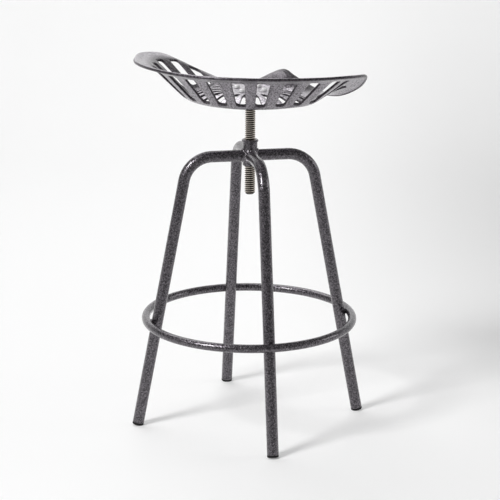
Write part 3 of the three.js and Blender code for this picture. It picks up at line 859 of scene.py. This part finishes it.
def pan_height(x, y):
    """Height of the pan's middle surface over a point of the plan, and how far out that point is."""
    reach, height, roll = rim_at(np.arctan2(y, x))
    out = np.hypot(x, y) / reach
    wall = np.where(out > WALL_FOOT, wall_curve(np.clip(out, 0, 1))[..., 0], 0)
    rolled = np.clip((out - ROLL_START) / (1 - ROLL_START), 0, None)
    crown = PAN_CROWN * (1 - between(out, CROWN_FLAT, CROWN_FOOT))
    return pan_foot + (height + roll) * wall - roll * rolled ** 2 + crown, out


def pan_normal(x, y):
    """Direction square to the pan's middle surface, upwards."""
    e = SLOPE_STEP
    dx = (pan_height(x + e, y)[0] - pan_height(x - e, y)[0]) / (2 * e)
    dy = (pan_height(x, y + e)[0] - pan_height(x, y - e)[0]) / (2 * e)
    n = np.stack([-dx, -dy, np.ones_like(dx)], -1)
    return n / np.linalg.norm(n, axis=-1)[..., None]


def lifted(x, y, lift):
    """Points over the plan, lifted through the wall.

    Short of the rim they stay over their places in the plan, so that the slots' walls are upright.
    """
    rim_begin, rim_end, rounds = 0.87, 0.96, 5
    x, y = np.asarray(x, float), np.asarray(y, float)
    keep = 1 - between(pan_height(x, y)[1], rim_begin, rim_end)
    px, py = x.copy(), y.copy()
    for _ in range(rounds):
        n = pan_normal(px, py)
        px = x - keep * n[..., 0] * lift
        py = y - keep * n[..., 1] * lift
    return np.stack([px, py, pan_height(px, py)[0]], -1) + pan_normal(px, py) * lift


# Outlines in the plan of the seat pan

def slot_outline(start, end, half, angle, grow):
    """The outline of a wedge-shaped slot with rounded corners, larger by grow all round.

    start and end are distances from the axis, half is half the wedge's angle, and angle is its direction.
    """
    slope, rise = math.tan(half), grow / math.cos(half)
    near, far = start - grow, end + grow
    near_half, far_half = near * slope + rise, far * slope + rise
    corner = min(SLOT_CORNER, start * slope * SLOT_ROUND_SHARE) + grow
    points = np.array([(near, -near_half), (far, -far_half), (far, far_half), (near, near_half)])

    def short_way(here, there):
        return here + (there - here) / np.linalg.norm(there - here) * corner

    outline = []
    for i, here in enumerate(points):
        following = points[(i + 1) % 4]
        entry, leave = short_way(here, points[i - 1]), short_way(here, following)
        for s in np.linspace(0, 1, CORNER_STEPS + 1):
            outline.append((1 - s) ** 2 * entry + 2 * s * (1 - s) * here + s * s * leave)
        stop = short_way(following, here)
        for s in np.linspace(0, 1, CORNER_STEPS + 1)[1:-1]:
            outline.append(leave + (stop - leave) * s)
    return turned_by(outline, angle)


def circle_outline(cx, cy, radius, grow):
    """The outline of a round hole, larger by grow all round."""
    a = np.linspace(0, FULL_TURN, HOLE_SIDES, endpoint=False)
    return np.stack([cx + (radius + grow) * np.cos(a), cy + (radius + grow) * np.sin(a)], 1)


def rim_outline():
    """The outline of the pan, where the rolled bead begins."""
    a = np.linspace(0, FULL_TURN, RIM_STEPS, endpoint=False)
    reach = rim_at(a)[0]
    return np.stack([reach * np.cos(a), reach * np.sin(a)], 1)


def pan_cutters():
    """The slots and the bolts' holes, each as a function that takes how far it is grown."""
    cutters = []
    for bearing in SLOT_BEARINGS:
        for sign in (1, -1):
            angle = math.pi + sign * math.radians(bearing)
            reach = float(rim_at(np.array(angle))[0])
            start, end = (share * reach for share in OUTER_SLOT)
            half = math.atan(SLOT_WIDTH / 2 / end)
            cutters.append(partial(slot_outline, start, end, half, angle))
            cutters.append(partial(slot_outline, INNER_SLOT_START, INNER_SLOT_END * reach, half, angle))
    for i in range(BOLT_COUNT):
        x, y = BOLT_CIRCLE * math.cos(i * QUARTER_TURN), BOLT_CIRCLE * math.sin(i * QUARTER_TURN)
        cutters.append(partial(circle_outline, x, y, BOLT_RADIUS + BOLT_CLEARANCE))
    return cutters


def inside(loop, points):
    """Which points lie inside a loop: those from which a level line crosses it an odd number of times."""
    x, y = points[:, 0], points[:, 1]
    hit = np.zeros(len(points), bool)
    for (x0, y0), (x1, y1) in zip(loop, np.roll(loop, -1, 0)):
        crosses = (y0 > y) != (y1 > y)
        with np.errstate(divide="ignore", invalid="ignore"):
            hit ^= crosses & (x < (x1 - x0) * (y - y0) / (y1 - y0) + x0)
    return hit


# Mesh of the seat pan

def ring_points(outlines):
    """Points in rings over the plan, without those that crowd a point of an outline."""
    rings = list(FLOOR_RINGS)
    for out in np.arange(WALL_RING_START, WALL_RING_END, WALL_RING_STEP):
        rings.append((out, int(WALL_RING_POINTS + WALL_RING_GAIN * (out - WALL_RING_START) / WALL_RING_SPAN)))
    points = [(0.0, 0.0)]
    for row, (out, count) in enumerate(rings):
        for k in range(count):
            a = FULL_TURN * (k + 0.5 * (row % 2)) / count
            r = out * float(rim_at(np.array(a))[0])
            points.append((r * math.cos(a), r * math.sin(a)))
    points = np.array(points)
    gaps = np.array([np.linalg.norm(outlines - point, axis=1).min() for point in points])
    return points[gaps > LEAST_POINT_GAP]


def triangulated(loops):
    """The plan inside the first loop and outside the others, as its points and triangles.

    It also gives the numbers of the points of each loop.
    """
    points, edges = [], []
    for loop in loops:
        first, count = len(points), len(loop)
        points += [tuple(p) for p in loop]
        edges += [(first + i, first + (i + 1) % count) for i in range(count)]
    points += [tuple(p) for p in ring_points(np.array(points))]
    made = delaunay_2d_cdt([Vector(p) for p in points], edges, [], 0, SAME_POINT)
    plan, triangles = np.array([tuple(v) for v in made[0]]), np.array(made[2])
    number = {ids[0]: new for new, ids in enumerate(made[3]) if ids}
    centres = plan[triangles].mean(1)
    keep = inside(loops[0], centres)
    for loop in loops[1:]:
        keep &= ~inside(loop, centres)
    loop_ids, first = [], 0
    for loop in loops:
        loop_ids.append([number[first + i] for i in range(len(loop))])
        first += len(loop)
    return plan, triangles[keep], loop_ids


def painted_shade_tones(plan):
    """How much painted shade darkens the paint at each point of the plan, on the upper face and on the
    underside.
    """
    out = pan_height(plan[:, 0], plan[:, 1])[1]
    from_back = np.degrees(np.abs(np.arctan2(plan[:, 1], -plan[:, 0])))
    slots = between(out, *SLOTS_BEGIN) * (1 - between(out, *SLOTS_END))
    slots *= 1 - between(from_back, *SLOTS_SIDE)
    front = between(from_back, *FRONT_SIDE) * between(out, *FRONT_BEGIN)
    wall = between(out, *WALL_RANGE) * (1 - slots) * (1 - front)
    upper = WALL_SHADE * wall + SLOTS_SHADE * slots + FRONT_SHADE * front
    under = UNDERSIDE_SHADE - UNDERSIDE_SHADE_FADE * between(from_back, *UNDERSIDE_SIDE)
    return list(upper), list(under)


def bead_rings(rim):
    """Rings of points round the bead along the edge, from the upper face to the underside."""
    x, y = rim[:, 0], rim[:, 1]
    just_inside = 0.9995
    middle = np.stack([x, y, pan_height(x, y)[0]], 1)
    normal = pan_normal(x * just_inside, y * just_inside)
    along = np.roll(middle, -1, 0) - np.roll(middle, 1, 0)
    along /= np.linalg.norm(along, axis=1)[:, None]
    outward = np.cross(along, normal)
    outward /= np.linalg.norm(outward, axis=1)[:, None]
    rings = []
    for t in np.radians(BEAD_DEGREES):
        lift = PAN_WALL / 2 - PAN_RIM_RADIUS + PAN_RIM_RADIUS * math.sin(t)
        rings.append(middle + normal * lift + outward * PAN_RIM_RADIUS * math.cos(t))
    return rings


def slot_stations():
    """How far a slot's outline is grown, and its lift through the wall, from upper edge to lower edge."""
    stations = []
    for t in np.radians([30, 60, 90]):
        grow, drop = SLOT_EDGE_ROUND * (1 - math.sin(t)), SLOT_EDGE_ROUND * (1 - math.cos(t))
        stations.append((grow, PAN_WALL / 2 - drop))
    return stations + [(grow, -lift) for grow, lift in reversed(stations)]


def build_pan():
    """The pan's mesh, and its painted shade at each vertex: none on the floor, darkest on every edge."""
    rim, cutters = rim_outline(), pan_cutters()
    plan, triangles, loop_ids = triangulated([rim] + [cut(SLOT_EDGE_ROUND) for cut in cutters])
    rim_ids, count = loop_ids[0], len(plan)
    low_plan = plan.copy()
    low_plan[rim_ids] *= (1 - BEAD_FOOT_SETBACK / np.hypot(*plan[rim_ids].T))[:, None]
    verts = list(lifted(*plan.T, PAN_WALL / 2)) + list(lifted(*low_plan.T, -PAN_WALL / 2))
    upper_shade, under_shade = painted_shade_tones(plan)
    shade_marks = upper_shade + under_shade
    faces = [tuple(int(i) for i in triangle) for triangle in triangles]
    faces += [tuple(int(i) + count for i in triangle[::-1]) for triangle in triangles]

    def bridge(ids, rings, tones, flipped):
        rows = [ids]
        for ring, ring_tones in zip(rings, tones):
            rows.append(list(range(len(verts), len(verts) + len(ring))))
            verts.extend(ring)
            shade_marks.extend(ring_tones)
        rows.append([i + count for i in ids])
        for one, two in zip(rows, rows[1:]):
            faces.extend(band_faces(one, two, flipped))

    # Painted shade round the bead, rising to the darkest on its outer side and underneath
    rim_shade = []
    for degrees in BEAD_DEGREES:
        least = min(1.0, (BEAD_SHADE_START - degrees) / BEAD_SHADE_SPAN)
        rim_shade.append([max(shade_marks[i], least) for i in rim_ids])
    bridge(rim_ids, bead_rings(rim), rim_shade, flipped=False)
    # Painted shade: the slots' walls are darkest
    for cut, ids in zip(cutters, loop_ids[1:]):
        rings = [lifted(*cut(grow).T, lift) for grow, lift in slot_stations()]
        bridge(ids, rings, [[1.0] * len(ids)] * len(rings), flipped=True)
    return turned_by(verts, SEAT_HEADING), faces, shade_marks


def seat_pan():
    """The dished pan with its slots and its rolled edge."""
    verts, faces, shade_marks = build_pan()
    piece("slotted_seat_pan", verts, faces, "seat", "seat_pan", seat_paint, sharp=60, shade_marks=shade_marks)


# The whole stool

for side, angle in QUARTERS:
    leg(side, angle)
    hub_weld(side, angle)
foot_ring()
for side, angle in QUARTERS:
    ring_weld(side, angle, "top", 1)
    ring_weld(side, angle, "bottom", -1)
collar()
for side, angle in QUARTERS:
    foot_plug(side, angle)
lifting_screw()
seat_plate()
plate_weld()
for i in range(BOLT_COUNT):
    washer_and_bolt(i + 1, SEAT_HEADING + i * QUARTER_TURN)
seat_pan()


# Floor and backdrop, in metres and in the photograph's own frame

CAMERA_TURN = math.radians(-12)  # from the photograph's own frame to the part's
FLOOR_LIGHT, FLOOR_DARK = 0.75, 0.5
FLOOR_TONE_RANGE = (-1.5, -0.42)  # from the dark near part, painted shade, to the light far one
GLOW = 0.225
GLOW_GAP_PLACE = (0.86, 0.44, 0.0)  # in the squeezed frame: where the floor has no glow, at the right
GLOW_GAP_SQUEEZE = (1.0, 0.32, 0.5)
GLOW_GAP_REACH = 0.86
GLOW_LEFT_RANGE, GLOW_LEFT_SHARE = (-0.8, 0.0), 0.72
SWEEP_HALF_WIDTH, SWEEP_NEAR, SWEEP_FAR = 12.0, -12.0, 2.2
SWEEP_RADIUS, SWEEP_TOP = 1.6, 2.8
FLOOR_DROP = 0.0002  # keeps the feet clear of the floor's surface


def floor_glow(tree, where, split, front):
    """How strongly the floor glows, for the camera and reflections alone: less in front, right and left."""
    squeezed = vector_math(tree, "MULTIPLY", where, GLOW_GAP_SQUEEZE)
    apart = vector_math(tree, "DISTANCE", squeezed.outputs[0], GLOW_GAP_PLACE)
    strength = mapped(tree, apart.outputs["Value"], (0, GLOW_GAP_REACH), (0, GLOW), smooth=True)
    left = mapped(tree, split.outputs["X"], GLOW_LEFT_RANGE, (GLOW_LEFT_SHARE, 1))
    path = tree.nodes.new("ShaderNodeLightPath")
    seen = path.outputs["Is Camera Ray"]
    for ray in ("Is Glossy Ray", "Is Transmission Ray"):
        seen = combined(tree, "MAXIMUM", seen, path.outputs[ray])
    for part in (seen, front, left):
        strength = combined(tree, "MULTIPLY", strength, part)
    return strength


def floor_material():
    """White paper, darker towards the camera as painted shade, with a little glow that evens out its far
    parts.
    """
    material, tree, shader = new_material("pale_floor")
    tree.nodes.remove(shader)
    where = object_place(tree)
    split = tree.nodes.new("ShaderNodeSeparateXYZ")
    tree.links.new(where, split.inputs[0])
    front = mapped(tree, split.outputs["Y"], FLOOR_TONE_RANGE, smooth=True)
    diffuse = tree.nodes.new("ShaderNodeBsdfDiffuse")
    tone = grey_toned(tree, front, [(0.0, FLOOR_DARK), (1.0, FLOOR_LIGHT)])
    tree.links.new(tone, diffuse.inputs["Color"])
    glow = tree.nodes.new("ShaderNodeEmission")
    tree.links.new(floor_glow(tree, where, split, front), glow.inputs["Strength"])
    both = tree.nodes.new("ShaderNodeAddShader")
    tree.links.new(diffuse.outputs[0], both.inputs[0])
    tree.links.new(glow.outputs[0], both.inputs[1])
    tree.links.new(both.outputs[0], tree.nodes["Material Output"].inputs["Surface"])
    return material


def backdrop():
    """A floor that curves up into a wall far behind, as a studio sweep."""
    profile = [(SWEEP_NEAR, 0.0), (SWEEP_FAR, 0.0)]
    for a in np.radians(range(5, 91, 5)):
        profile.append((SWEEP_FAR + SWEEP_RADIUS * math.sin(a), SWEEP_RADIUS * (1 - math.cos(a))))
    profile.append((SWEEP_FAR + SWEEP_RADIUS, SWEEP_TOP))
    verts = [(x, y, z - FLOOR_DROP) for y, z in profile for x in (-SWEEP_HALF_WIDTH, SWEEP_HALF_WIDTH)]
    faces = [(2 * i, 2 * i + 1, 2 * i + 3, 2 * i + 2) for i in range(len(profile) - 1)]
    mesh = bpy.data.meshes.new("studio_sweep")
    mesh.from_pydata(verts, [], faces)
    mesh.polygons.foreach_set("use_smooth", [True] * len(mesh.polygons))
    mesh.materials.append(floor_material())
    sweep = bpy.data.objects.new("studio_sweep", mesh)
    sweep.rotation_euler = (0, 0, CAMERA_TURN)
    scene.collection.objects.link(sweep)


# Light, in the photograph's own frame

LIGHT_TARGET = Vector((0, 0, 0.4))
SKY_STRENGTH = 0.26


def in_part_frame(v):
    """A vector of the photograph's own frame, in the part's."""
    return Vector(turned_by([v], CAMERA_TURN)[0])


def area_light(name, towards, distance, size, power):
    """A soft round light in a direction from the stool, in metres and watts."""
    data = bpy.data.lights.new(name, "AREA")
    data.shape = "DISK"
    data.size = size
    data.energy = power
    lamp = bpy.data.objects.new(name, data)
    scene.collection.objects.link(lamp)
    direction = in_part_frame(Vector(towards).normalized())
    lamp.location = LIGHT_TARGET + direction * distance
    lamp.rotation_mode = "QUATERNION"
    lamp.rotation_quaternion = direction.to_track_quat("Z", "Y")


def sky():
    """An even white world."""
    world = bpy.data.worlds.new("studio")
    scene.world = world
    world.use_nodes = True
    background = world.node_tree.nodes["Background"]
    background.inputs["Color"].default_value = (*WHITE, 1)
    background.inputs["Strength"].default_value = SKY_STRENGTH


# Camera

CAMERA_PLACE = (-0.7122, -3.3508, 1.2855)  # in metres, in the part's frame
PITCH, YAW, ROLL = 0.2688, 0.0003, 0.0055  # down, to the right and anticlockwise, in radians
SENSOR_WIDTH, LENS = 36, 132.64  # in millimetres
CLIP_NEAR, CLIP_FAR = 0.1, 40


def add_camera():
    """The photograph's camera, as it was fitted to the stool."""
    data = bpy.data.cameras.new("camera")
    data.sensor_width = SENSOR_WIDTH
    data.lens = LENS
    data.clip_start, data.clip_end = CLIP_NEAR, CLIP_FAR
    camera = bpy.data.objects.new("camera", data)
    scene.collection.objects.link(camera)
    forward = Vector((math.sin(YAW) * math.cos(PITCH), math.cos(YAW) * math.cos(PITCH), -math.sin(PITCH)))
    right = forward.cross(Vector((0, 0, 1))).normalized()
    up = right.cross(forward)
    x_axis = in_part_frame(right * math.cos(ROLL) + up * math.sin(ROLL))
    y_axis = in_part_frame(-right * math.sin(ROLL) + up * math.cos(ROLL))
    z_axis = -in_part_frame(forward)
    place = Matrix((x_axis, y_axis, z_axis)).transposed().to_4x4()
    place.translation = CAMERA_PLACE
    camera.matrix_world = place
    scene.camera = camera


backdrop()
area_light("key", towards=(-0.62, -0.50, 0.66), distance=7.0, size=2.0, power=334)
area_light("overhead", towards=(-0.28, 0.58, 0.95), distance=4.2, size=3.2, power=68)
area_light("right_fill", towards=(1.0, 0.1, 0.3), distance=4.6, size=2.0, power=26)
sky()
add_camera()
scene.view_settings.view_transform = "Standard"
